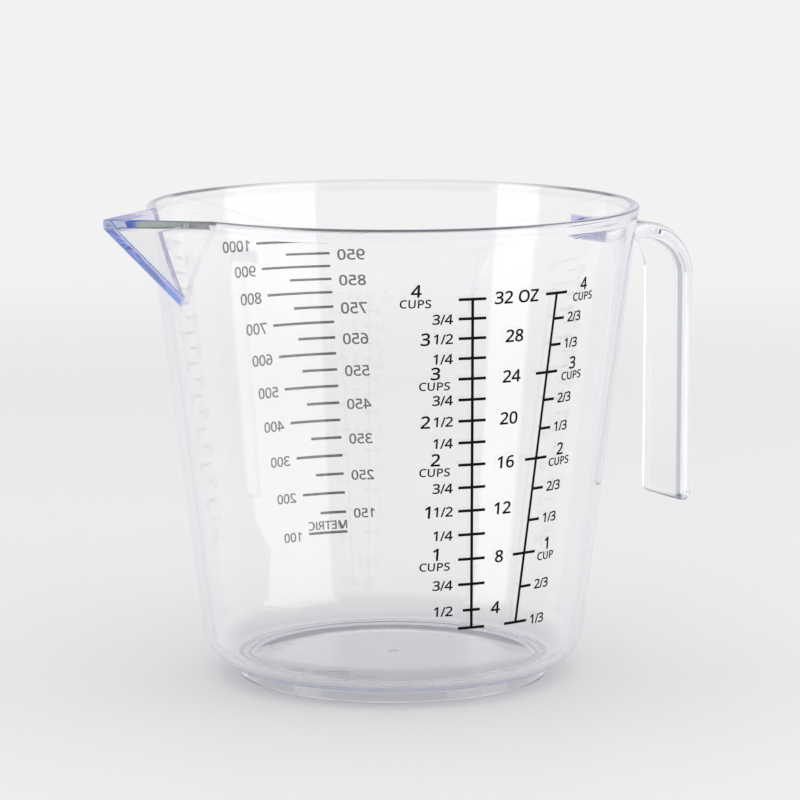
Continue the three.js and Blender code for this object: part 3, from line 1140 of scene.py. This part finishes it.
@dataclass
class PouringSpout:
    """Two flat leaning walls that meet in a keel, under an upright band with a thin pouring edge."""

    taper: Taper
    overhang: float = 18.7 * MM
    mouth: float = 37.0 * MM
    drop: float = 24.0 * MM
    wall: float = 2.0 * MM
    keel_flat: float = 1.2 * MM
    keel_round: float = 0.45 * MM
    round_steps: int = 4
    round_profile: float = 0.5
    lip_height: float = 2.5 * MM
    margin: float = 2 * MM
    flush: float = 0.02 * MM

    @property
    def back(self) -> float:
        """Radius, well inside the cup, from which the spout is drawn before it is trimmed."""
        return self.taper.brim_radius / 2

    @property
    def nose(self) -> float:
        """Reach of the keel's nose from the cup's axis."""
        return self.taper.brim_radius + self.overhang

    @property
    def band_foot(self) -> float:
        """Height where the upright band meets the leaning walls."""
        return self.taper.height - self.lip_height

    @property
    def keel_foot(self) -> Point:
        """Radius and height where the keel ends on the wall."""
        z = self.taper.height - self.drop
        return self.taper.outside(z), z

    @property
    def keel_run(self) -> float:
        """Inward travel of the keel for each step down."""
        return (self.nose - self.keel_foot[0]) / (self.drop - self.lip_height)

    @property
    def plan(self) -> float:
        """Tangent of the V's half angle, seen from above."""
        root = math.sqrt(self.taper.brim_radius**2 - (self.mouth / 2) ** 2)
        return (self.mouth - self.keel_flat) / 2 / (self.nose - root)

    @property
    def plan_shift(self) -> float:
        """Travel of the nose for one unit of wall."""
        half = math.atan(self.plan)
        return 1 / (math.cos(math.atan(self.keel_run * math.sin(half))) * math.sin(half))

    @property
    def keel_ends(self) -> tuple[Vector, Vector]:
        """Upper and lower end of the keel line."""
        ends = ((self.nose, self.band_foot), self.keel_foot)
        return tuple(Vector((self.taper.axis_x - reach, 0, z)) for reach, z in ends)

    def level(self, shape: bmesh.types.BMesh, nose: float, z: float) -> list[bmesh.types.BMVert]:
        """The V in plan as four corners, nose first.

        Args:
            shape: The shape that the corners go into.
            nose: Reach of its nose from the cup's axis.
            z: Height of the corners.

        Returns:
            The corners, in order round the V.
        """
        flat, x = self.keel_flat / 2, self.taper.axis_x
        half = flat + (nose - self.back) * self.plan
        places = [(x - nose, -flat), (x - nose, flat), (x - self.back, half), (x - self.back, -half)]
        return [shape.verts.new((*place, z)) for place in places]

    def wedge(self, name: str, inward: float, top: float, low: float) -> Piece:
        """A solid wedge under the leaning planes, upright above them.

        Args:
            name: Name of the new object.
            inward: How far its walls lie inside the spout's outside, square to them.
            top: Height of its top.
            low: Height where its walls start to lean.

        Returns:
            The wedge, with its keel and upper edges rounded.
        """
        nose = self.nose - self.keel_run * (self.band_foot - low) - inward * self.plan_shift
        bottom = low - (nose - self.back) / self.keel_run
        shape = bmesh.new()
        middle = self.level(shape, nose, low)
        x, flat = self.taper.axis_x - self.back, self.keel_flat / 2
        foot = [shape.verts.new((x, side * flat, bottom)) for side in (-1, 1)]
        faces = [
            [middle[0], middle[1], foot[1], foot[0]],
            [middle[1], middle[2], foot[1]],
            [middle[2], middle[3], foot[0], foot[1]],
            [middle[3], middle[0], foot[0]],
        ]
        round_edges = [(middle[0], foot[0]), (middle[1], foot[1])]
        if top > low:
            upper = self.level(shape, nose, top)
            faces += [[upper[i], upper[(i + 1) % 4], middle[(i + 1) % 4], middle[i]] for i in range(4)]
            faces.append(upper)
            for i, k in ((0, 1), (1, 2), (3, 0)):
                round_edges += [(upper[i], upper[k]), (middle[i], middle[k])]
            round_edges += [(upper[0], middle[0]), (upper[1], middle[1])]
        else:
            faces.append(middle)
        for corners in faces:
            shape.faces.new(corners)
        bmesh.ops.recalc_face_normals(shape, faces=shape.faces)
        bmesh.ops.bevel(
            shape,
            geom=[shape.edges.get(pair) for pair in round_edges],
            offset=self.keel_round,
            segments=self.round_steps,
            profile=self.round_profile,
            affect="EDGES",
        )
        return mesh_object(name, shape)

    def walls(self) -> Piece:
        """The solid outside of the spout, not yet hollow."""
        return self.wedge("spout_walls", 0.0, self.taper.height - self.flush, self.band_foot)

    def channel(self) -> Piece:
        """The solid that hollows the spout and opens the wall behind it."""
        top = self.taper.height + self.margin
        return self.wedge("spout_channel", self.wall, top, top)


@dataclass
class StripHandle:
    """Flat strip joined at its top, with a round bend and a free lower end."""

    taper: Taper
    width: float = 20.4 * MM
    thickness: float = 4.5 * MM
    finger_gap: float = 19.3 * MM
    drop: float = 8 * MM
    length: float = 78.7 * MM
    bend: float = 11.1 * MM
    bend_steps: int = 24
    edge: float = 1.7 * MM
    edge_steps: int = 6
    end_round: float = 1.9 * MM
    end_steps: int = 7

    def build(self, material: bpy.types.Material) -> Piece:
        """Sweep the strip and round its free end.

        Args:
            material: Material of the strip.

        Returns:
            A closed solid that still reaches into the cup.
        """
        brim, middle = self.taper.brim_radius, self.thickness / 2
        top = self.taper.height - self.drop
        handle = mesh_object("handle_strip", bmesh.new())
        strip_recipe().put_on(
            handle,
            material,
            Root_X=self.taper.axis_x + brim / 2,
            Grip_X=self.taper.axis_x + brim + self.finger_gap + middle,
            Arm_Z=top - middle,
            End_Z=top - self.length,
            Bend_Radius=self.bend + middle,
            Width=self.width,
            Thickness=self.thickness,
            Edge_Radius=self.edge,
            Bend_Steps=self.bend_steps,
            Edge_Steps=self.edge_steps,
        )
        apply_modifiers(handle)
        self.round_end(handle, top - self.length)
        return handle

    def round_end(self, handle: Piece, end: float) -> None:
        """Draw the strip in all round towards its free end, along a quarter circle.

        Args:
            handle: The swept strip.
            end: Height of the free end.
        """
        shape = bmesh.new()
        shape.from_mesh(handle.data)
        radius = self.end_round
        for i in range(1, self.end_steps + 1):
            level = end + radius * (1 - math.cos(math.pi / 2 * i / self.end_steps))
            everything = [*shape.verts, *shape.edges, *shape.faces]
            bmesh.ops.bisect_plane(shape, geom=everything, plane_co=(0, 0, level), plane_no=(0, 0, 1))
        low = [v for v in shape.verts if v.co.z < end + radius]
        middle = (max(v.co.x for v in low) + min(v.co.x for v in low)) / 2
        for vert in low:
            inset = radius - math.sqrt(max(0.0, radius**2 - (end + radius - vert.co.z) ** 2))
            vert.co.x = middle + (vert.co.x - middle) * (1 - 2 * inset / self.thickness)
            vert.co.y *= 1 - 2 * inset / self.width
        shape.to_mesh(handle.data)
        shape.free()


@dataclass
class ClearMoulding:
    """The whole clear body: turned cup, spout and handle in one closed solid."""

    body: CupBody
    spout: PouringSpout
    handle: StripHandle
    crease: float = 28.0
    merge: float = 0.002 * MM
    sliver: float = 0.001 * MM

    NODES = ("side_wall", "heel", "floor_disc", "foot_ring", "rim_lip", "pouring_spout", "handle")

    def build(self) -> Piece:
        """Join the three forms and give them their finish.

        Returns:
            The moulding, riding on the frame.
        """
        top, foot = self.spout.keel_ends
        taper, columns = self.body.taper, self.body.columns
        material = ClearPlastic(top, foot, self.body.lip_foot, taper.axis_x).material()
        piece = self.body.build()
        walls = self.spout.walls()
        combine(walls, taper.core(columns), Join.CUT)
        combine(piece, walls, Join.ADD)
        combine(piece, self.spout.channel(), Join.CUT)
        strip = self.handle.build(material)
        combine(strip, taper.core(columns), Join.CUT)
        combine(piece, strip, Join.ADD)
        self.dress(piece, material)
        return piece

    def dress(self, piece: Piece, material: bpy.types.Material) -> None:
        """Clean the mesh, set its shading and material, and tie it to the frame.

        Args:
            piece: The joined moulding.
            material: Its material.
        """
        shape = bmesh.new()
        shape.from_mesh(piece.data)
        bmesh.ops.remove_doubles(shape, verts=shape.verts, dist=self.merge)
        bmesh.ops.dissolve_degenerate(shape, edges=shape.edges, dist=self.sliver)
        bmesh.ops.recalc_face_normals(shape, faces=shape.faces)
        shape.to_mesh(piece.data)
        shape.free()
        piece.data.shade_smooth()
        piece.data.set_sharp_from_angle(angle=math.radians(self.crease))
        dress_in(piece, material)
        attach(piece, "root")
        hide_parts(*self.NODES)


# The printed scales


def plain_sign(sign: str) -> str:
    """The plain sans-serif form of a figure or a capital, except for I, which is plain already.

    Args:
        sign: One sign of a label.

    Returns:
        The sign to print.
    """
    if sign.isdigit():
        return chr(SANS_FIGURE + int(sign))
    return chr(SANS_CAPITAL + ord(sign) - ord("A")) if sign.isalpha() and sign != "I" else sign


@dataclass(frozen=True)
class Label:
    """One piece of lettering on the wall."""

    text: str
    arc: float
    height: float
    size: float
    align: Align = Align.CENTRE
    spacing: float = 1.0


@dataclass(frozen=True)
class TickRow:
    """Ticks at equal steps in volume, with their ends at the lowest and the top mark."""

    first: float
    step: float
    count: int
    left: Point
    right: Point


@dataclass
class Printer:
    """Makes flat print, wraps it on the wall and ties it to the frame."""

    taper: Taper
    material: bpy.types.Material
    film: float = 0.06 * MM
    film_gap: float = 0.02 * MM
    line: float = 0.74 * MM
    rail: float = 0.75 * MM
    weight: float = 0.019
    stretch: float = 1.1
    merge: float = 0.0005 * MM
    curve_steps: int = 3
    columns: int = 14
    rows: int = 48

    def __post_init__(self) -> None:
        """Build the trees once and measure how tall the lettering's capitals are."""
        self.ticks, self.rails, self.wrap = tick_recipe(), rail_recipe(), wrap_recipe()
        sample = self.letters("H", 1.0, 1.0)
        self.capital = max(v.co.y for v in sample.vertices) - min(v.co.y for v in sample.vertices)

    def letters(self, text: str, size: float, spacing: float) -> bpy.types.Mesh:
        """Flat lettering as a thin closed mesh.

        Args:
            text: What it says.
            size: Size of the lettering.
            spacing: Share of the usual step from sign to sign.

        Returns:
            The mesh, standing on the film's underside.
        """
        curve = bpy.data.curves.new("lettering", "FONT")
        curve.body, curve.size = "".join(map(plain_sign, text)), size
        curve.space_character = spacing
        curve.resolution_u = self.curve_steps
        curve.offset = self.weight * size
        curve.extrude = self.film / 2
        holder = new_object("lettering", curve)
        mesh = evaluated_mesh(holder)
        bpy.data.objects.remove(holder)
        mesh.transform(Matrix.Translation((0, 0, self.film / 2)) @ Matrix.Diagonal((self.stretch, 1, 1, 1)))
        return mesh

    def lettered(self, name: str, labels: list[Label]) -> Piece:
        """All labels of one print, side by side on the flat.

        Args:
            name: Name of the new object.
            labels: The labels.

        Returns:
            One flat object.
        """
        shape = bmesh.new()
        for label in labels:
            mesh = self.letters(label.text, label.size / self.capital, label.spacing)
            xs = [v.co.x for v in mesh.vertices]
            ys = [v.co.y for v in mesh.vertices]
            anchor = min(xs) + (max(xs) - min(xs)) * label.align.value
            middle = (min(ys) + max(ys)) / 2
            mesh.transform(Matrix.Translation((label.arc - anchor, label.height - middle, 0)))
            shape.from_mesh(mesh)
            bpy.data.meshes.remove(mesh)
        bmesh.ops.remove_doubles(shape, verts=shape.verts, dist=self.merge)
        return mesh_object(name, shape)

    def add_ticks(self, piece: Piece, row: TickRow, low: float, top: float,
                  spread: Point = (0.0, 0.0)) -> None:
        """Put one row of ticks on a flat print.

        Args:
            piece: The print.
            row: The ticks.
            low: Height of the scale's lowest mark.
            top: Height of its top mark.
            spread: Where the row's middle line stands at those two marks.
        """
        self.ticks.put_on(
            piece, self.material, First_Share=row.first, Share_Step=row.step, Count=row.count,
            Columns=self.columns, Lowest=low, Top=top, Bore_Radius=self.taper.bore_radius,
            Slope=self.taper.slope, Left_Low=row.left[0], Left_Top=row.left[1], Right_Low=row.right[0],
            Right_Top=row.right[1], Spread_Low=spread[0], Spread_Top=spread[1], Line_Width=self.line,
            Film=self.film,
        )

    def add_rail(self, piece: Piece, low: float, top: float, spread: Point) -> None:
        """Put a ladder's long line on a flat print.

        Args:
            piece: The print.
            low: Height of the scale's lowest mark.
            top: Height of its top mark.
            spread: Where the line stands at those two marks.
        """
        self.rails.put_on(
            piece, self.material, Lowest=low, Top=top, Spread_Low=spread[0], Spread_Top=spread[1],
            Rail_Width=self.rail, Line_Width=self.line, Film=self.film, Rows=self.rows,
        )

    def finish(self, piece: Piece, face: Face, nodes: list[str]) -> Piece:
        """Wrap a flat print on the wall and tie it to the frame.

        Args:
            piece: The flat print.
            face: Which side of the cup it is on.
            nodes: CAD nodes that it stands for.

        Returns:
            The finished print.
        """
        self.wrap.put_on(
            piece, self.material, Wall_Radius=self.taper.foot_radius, Slope=self.taper.slope,
            Face_Angle=face.value, Axis_X=self.taper.axis_x, Film_Gap=self.film_gap,
        )
        apply_modifiers(piece)
        dress_in(piece, self.material)
        piece.data.polygons.foreach_set("material_index", [0] * len(piece.data.polygons))
        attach(piece, "root")
        if nodes:
            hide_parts(*nodes)
        return piece


@dataclass
class CupScales:
    """Two ladders in cups with a column of ounces between them."""

    printer: Printer
    low: float = 21.9 * MM
    top: float = 108.9 * MM
    cups_low: float = 1 / 3
    cups_top: int = 4
    ounces_per_cup: int = 8
    spread_low: float = 6.7 * MM
    spread_top: float = 12.6 * MM
    tick: float = 7.4 * MM
    short_tick: float = 4.8 * MM
    numeral: float = 3.25 * MM
    fraction: float = 2.6 * MM
    unit: float = 2.15 * MM
    unit_spacing: float = 1.06
    label_gap: float = 1.45 * MM
    fraction_width: float = 5.9 * MM
    unit_reach: float = 6.1 * MM
    unit_reach_top: float = 11.0 * MM
    unit_reach_right: float = 3.4 * MM
    unit_reach_step: float = 0.8 * MM
    numeral_rise: float = 1.6 * MM
    unit_drop: float = 1.7 * MM
    top_rise: float = 0.8 * MM

    def share(self, cups: float) -> float:
        """Share of the way, by volume, from the lowest mark to the top one."""
        return (cups - self.cups_low) / (self.cups_top - self.cups_low)

    def height(self, cups: float) -> float:
        """Height of a mark."""
        return self.printer.taper.mark_height(self.share(cups), self.low, self.top)

    def spread(self, cups: float) -> float:
        """Distance of either ladder's line from the middle of the print at a mark."""
        way = (self.height(cups) - self.low) / (self.top - self.low)
        return self.spread_low + (self.spread_top - self.spread_low) * way

    def rows(self, first: float, step: float, count: int, length: float,
             left: bool = True) -> list[TickRow]:
        """Ticks on one or both sides of a ladder's line.

        Args:
            first: Cups at the first tick.
            step: Cups from tick to tick.
            count: Number of ticks.
            length: Length of a tick right across the line.
            left: Whether the left half is printed too.

        Returns:
            The rows, each ending at the line's edge.
        """
        inner, outer = self.printer.rail / 2, length / 2
        share, by = self.share(first), step / (self.cups_top - self.cups_low)
        sides = [TickRow(share, by, count, (inner, inner), (outer, outer))]
        if left:
            sides.append(TickRow(share, by, count, (-outer, -outer), (-inner, -inner)))
        return sides

    def whole_labels(self, whole: int, word: str, arc_place: float, z: float) -> list[Label]:
        """A whole number of cups with its unit word below it.

        Args:
            whole: The number.
            word: The unit word.
            arc_place: Where round the wall both are centred.
            z: Height of the mark.

        Returns:
            The two labels.
        """
        return [
            Label(str(whole), arc_place, z + self.numeral_rise, self.numeral),
            Label(word, arc_place, z - self.unit_drop, self.unit, spacing=self.unit_spacing),
        ]

    def quarter_labels(self) -> list[Label]:
        """Lettering to the left of the quarter ladder.

        Returns:
            The labels, from the lowest up.
        """
        labels = []
        for quarters in range(2, 4 * self.cups_top + 1):
            whole, part = divmod(quarters, 4)
            z = self.height(quarters / 4)
            edge = -self.spread(quarters / 4) - self.tick / 2
            if part == 0:
                topmost = whole == self.cups_top
                reach = self.unit_reach_top if topmost else self.unit_reach
                rise = self.top_rise if topmost else 0.0
                labels += self.whole_labels(whole, "CUPS", edge - reach, z + rise)
                continue
            text = {1: "1/4", 2: "1/2", 3: "3/4"}[part]
            labels.append(Label(text, edge - self.label_gap, z, self.fraction, Align.RIGHT))
            if part == 2 and whole:
                start = edge - self.label_gap - self.fraction_width
                labels.append(Label(str(whole), start, z, self.numeral, Align.RIGHT))
        return labels

    def third_labels(self) -> list[Label]:
        """Lettering to the right of the third ladder.

        Returns:
            The labels, from the lowest up.
        """
        labels = []
        for thirds in range(1, 3 * self.cups_top + 1):
            whole, part = divmod(thirds, 3)
            z = self.height(thirds / 3)
            edge = self.spread(thirds / 3) + self.tick / 2
            if part:
                labels.append(Label(f"{part}/3", edge + self.label_gap, z, self.fraction, Align.LEFT))
                continue
            middle = edge + self.unit_reach_right + self.unit_reach_step * whole
            labels += self.whole_labels(whole, "CUP" if whole == 1 else "CUPS", middle, z)
        return labels

    def ounce_labels(self) -> list[Label]:
        """Ounces in the middle of the print, every half cup.

        Returns:
            The labels, from the lowest up.
        """
        labels = []
        for halves in range(1, 2 * self.cups_top + 1):
            ounces = halves * self.ounces_per_cup // 2
            text = f"{ounces} OZ" if halves == 2 * self.cups_top else str(ounces)
            labels.append(Label(text, 0.0, self.height(halves / 2), self.numeral))
        return labels

    def ladder(self, name: str, labels: list[Label], rows: list[TickRow], side: int, node: str) -> Piece:
        """Print one ladder with its lettering.

        Args:
            name: Name of the piece.
            labels: Its lettering.
            rows: Its ticks.
            side: -1 for the left ladder and 1 for the right one.
            node: CAD node that it stands for.

        Returns:
            The finished print.
        """
        spread = (side * self.spread_low, side * self.spread_top)
        piece = self.printer.lettered(name, labels)
        self.printer.add_rail(piece, self.low, self.top, spread)
        for row in rows:
            self.printer.add_ticks(piece, row, self.low, self.top, spread)
        return self.printer.finish(piece, Face.CUPS, [node])

    def build(self) -> list[Piece]:
        """Print both ladders and the ounces.

        Returns:
            The three prints.
        """
        foot = self.rows(self.cups_low, 0.0, 1, self.tick)
        quarters = (
            foot
            + self.rows(1 / 2, 0.0, 1, self.short_tick)
            + self.rows(3 / 4, 1 / 4, 4 * self.cups_top - 2, self.tick)
        )
        thirds = (
            foot
            + self.rows(1.0, 1.0, self.cups_top, self.tick)
            + self.rows(2 / 3, 1.0, self.cups_top, self.tick, left=False)
            + self.rows(4 / 3, 1.0, self.cups_top - 1, self.tick, left=False)
        )
        ounces = self.printer.lettered("ounce_print", self.ounce_labels())
        return [
            self.ladder("quarter_cup_print", self.quarter_labels(), quarters, -1, "quarter_cup_scale"),
            self.ladder("third_cup_print", self.third_labels(), thirds, 1, "third_cup_scale"),
            self.printer.finish(ounces, Face.CUPS, []),
        ]


@dataclass
class MillilitreScale:
    """Ticks every 50 ml, long at the hundreds, with their numbers on alternate sides."""

    printer: Printer
    low: float = 28.3 * MM
    top: float = 112.0 * MM
    ml_low: int = 100
    ml_top: int = 1000
    ml_step: int = 50
    start: float = -14.4 * MM
    long_low: float = 11.9 * MM
    long_top: float = 23.4 * MM
    short_low: float = 7.5 * MM
    short_top: float = 14.0 * MM
    numeral_low: float = 2.6 * MM
    numeral_top: float = 3.4 * MM
    label_gap: float = 2.3 * MM
    label_drop: float = 0.5 * MM
    word_size: float = 2.4 * MM
    word_rise: float = 2.1 * MM

    @property
    def marks(self) -> range:
        """Amounts at which there is a tick."""
        return range(self.ml_low, self.ml_top + 1, self.ml_step)

    def share(self, ml: float) -> float:
        """Share of the way, by volume, from the lowest mark to the top one."""
        return (ml - self.ml_low) / (self.ml_top - self.ml_low)

    def labels(self) -> list[Label]:
        """Numbers beside the ticks, and the word above the lowest one.

        Returns:
            The labels, from the lowest number up.
        """
        labels = []
        for ml in self.marks:
            share = self.share(ml)
            z = self.printer.taper.mark_height(share, self.low, self.top) - self.label_drop
            size = self.numeral_low + (self.numeral_top - self.numeral_low) * share
            if ml % (2 * self.ml_step):
                labels.append(Label(str(ml), self.start - self.label_gap, z, size, Align.RIGHT))
            else:
                end = self.start + self.long_low + (self.long_top - self.long_low) * share
                labels.append(Label(str(ml), end + self.label_gap, z, size, Align.LEFT))
        middle = self.start + self.long_low / 2
        labels.append(Label("METRIC", middle, self.low + self.word_rise, self.word_size))
        return labels

    def build(self) -> Piece:
        """Print the scale.

        Returns:
            The finished print.
        """
        piece = self.printer.lettered("millilitre_print", self.labels())
        first, step = self.share(self.ml_low + self.ml_step), self.share(self.ml_low + 2 * self.ml_step)
        long_count = len(self.marks[::2])
        starts = (self.start, self.start)
        long_ends = (self.start + self.long_low, self.start + self.long_top)
        short_ends = (self.start + self.short_low, self.start + self.short_top)
        for row in (
            TickRow(0.0, step, long_count, starts, long_ends),
            TickRow(first, step, long_count - 1, starts, short_ends),
        ):
            self.printer.add_ticks(piece, row, self.low, self.top)
        return self.printer.finish(piece, Face.MILLILITRES, [f"ml_mark_{ml}" for ml in self.marks])


# The studio


@dataclass(frozen=True)
class Softbox:
    """A flat soft lamp beside the cup, facing its axis."""

    name: str
    azimuth: float
    width: float
    power: float
    distance: float = 0.95
    height: float = 0.95
    clearance: float = 0.02

    def build(self, axis_x: float, heading: float) -> None:
        """Place the lamp.

        Args:
            axis_x: Where the cup's axis stands.
            heading: Angle about the axis that points to the camera.
        """
        lamp = bpy.data.lights.new(self.name, "AREA")
        lamp.shape = "RECTANGLE"
        lamp.size, lamp.size_y = self.width, self.height
        lamp.energy = self.power
        piece = new_object(self.name, lamp)
        angle = heading + math.radians(self.azimuth)
        offset = Vector((math.cos(angle), math.sin(angle), 0)) * self.distance
        piece.location = Vector((axis_x, 0, self.height / 2 + self.clearance)) + offset
        piece.rotation_euler = (-offset).to_track_quat("-Z", "Y").to_euler()
        piece.visible_camera = False


@dataclass
class Studio:
    """Camera, pale floor, soft lamps and a plain surround."""

    taper: Taper
    azimuth: float = -28.5
    pitch: float = 8.87
    distance: float = 1025.8 * MM
    camera_height: float = 233.9 * MM
    lateral: float = 1.9 * MM
    lens: float = 173.8
    clip_end: float = 100.0
    floor_radius: float = 12.0
    floor_sides: int = 96
    surround: Colour = (0.89, 0.89, 0.89, 1.0)
    overhead: Colour = (0.14, 0.145, 0.18, 1.0)
    overhead_rise: Span = (0.22, 0.6)
    light: Colour = (1.0, 1.0, 1.0, 1.0)
    light_strength: float = 0.92

    LAMPS = (
        Softbox("soft_right", azimuth=68.0, width=0.98, power=3.4),
        Softbox("soft_left", azimuth=-68.0, width=0.42, power=1.8),
    )

    @property
    def forward(self) -> Vector:
        """Level direction in which the camera looks."""
        turn = math.radians(self.azimuth)
        return Vector((-math.sin(turn), math.cos(turn), 0))

    def camera(self) -> None:
        """Place the camera at the photograph's viewing angle."""
        data = bpy.data.cameras.new("camera")
        data.lens = self.lens
        data.clip_end = self.clip_end
        piece = new_object("camera", data)
        right = Vector((self.forward.y, -self.forward.x, 0))
        above = Vector((self.taper.axis_x, 0, self.camera_height))
        piece.location = above - self.forward * self.distance + right * self.lateral
        piece.rotation_euler = (math.radians(90 - self.pitch), 0, math.radians(self.azimuth))
        bpy.context.scene.camera = piece

    def floor(self) -> None:
        """Lay the pale floor."""
        shape = bmesh.new()
        bmesh.ops.create_circle(shape, cap_ends=True, segments=self.floor_sides, radius=self.floor_radius)
        piece = mesh_object("floor", shape)
        dress_in(piece, PaleFloor(self.surround).material())

    def world(self) -> None:
        """Set the plain surround: even light on the object, pale to look at, darker overhead."""
        world = bpy.data.worlds.new("surround")
        bpy.context.scene.world = world
        world.use_nodes = True
        world.node_tree.nodes.clear()
        sheet = ShaderSheet(world.node_tree)
        up = sheet.parts(sheet.add("ShaderNodeTexCoord").outputs["Generated"])["Z"]
        ramp = sheet.add("ShaderNodeValToRGB", {0: up})
        stops = zip(ramp.color_ramp.elements, self.overhead_rise, (self.surround, self.overhead))
        for stop, position, colour in stops:
            stop.position, stop.color = position, colour
        light, look = (
            sheet.first("ShaderNodeBackground", {"Color": colour, "Strength": strength})
            for colour, strength in ((self.light, self.light_strength), (ramp.outputs[0], 1.0))
        )
        sheet.add("ShaderNodeOutputWorld", {"Surface": sheet.blended(sheet.seen(), light, look)})

    def lamps(self) -> None:
        """Place a wide soft lamp to the camera's right and a narrow one to its left."""
        heading = math.atan2(-self.forward.y, -self.forward.x)
        for lamp in self.LAMPS:
            lamp.build(self.taper.axis_x, heading)

    def build(self) -> None:
        """Set up everything round the object."""
        self.camera()
        self.floor()
        self.world()
        self.lamps()
        bpy.context.scene.view_settings.view_transform = "Standard"


def main() -> None:
    """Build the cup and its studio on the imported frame."""
    for leftover in list(bpy.data.objects):
        bpy.data.objects.remove(leftover)
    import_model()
    taper = Taper.from_frame()
    pieces = [ClearMoulding(CupBody(taper), PouringSpout(taper), StripHandle(taper)).build()]
    printer = Printer(taper, BlackInk().material())
    pieces += CupScales(printer).build()
    pieces.append(MillilitreScale(printer).build())
    for piece in pieces:
        LOG.info("%s: %d faces", piece.name, len(piece.data.polygons))
    Studio(taper).build()


if __name__ == "__main__":
    logging.basicConfig(level=logging.INFO, format="%(name)s %(message)s")
    main()
